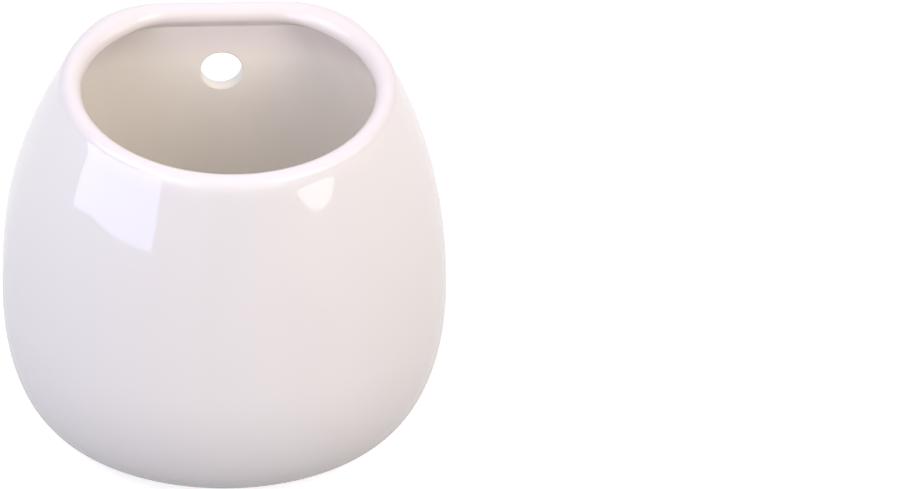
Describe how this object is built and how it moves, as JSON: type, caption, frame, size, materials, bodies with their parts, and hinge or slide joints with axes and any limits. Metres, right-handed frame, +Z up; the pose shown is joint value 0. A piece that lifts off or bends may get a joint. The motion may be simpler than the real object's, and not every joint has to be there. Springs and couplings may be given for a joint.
{
  "type": "hanging wall vase",
  "caption": "Small glazed ceramic wall vase: a round bowl with a flat back, a rolled lip and a hanging hole in the back wall below the lip.",
  "frame": {"origin": "middle of the hanging hole, on the plane of the wall that the flat back lies against", "axes": "+Y into the wall, +Z up, +X to the viewer's right as they face the vase on its wall; the bowl bulges towards -Y"},
  "size_m": [0.1, 0.0748, 0.0919],
  "materials": {
    "bare_clay": "bare fired white clay, matte, ground flat under the foot",
    "outer_glaze": "glossy white glaze, slightly pooled above the foot",
    "liner_glaze": "glossy white glaze, a little warmer where it lies thick inside"
  },
  "bodies": {
    "root": {"clay_body": "bare_clay", "outer_glaze": "outer_glaze", "liner_glaze": "liner_glaze"}
  },
  "joints": []
}
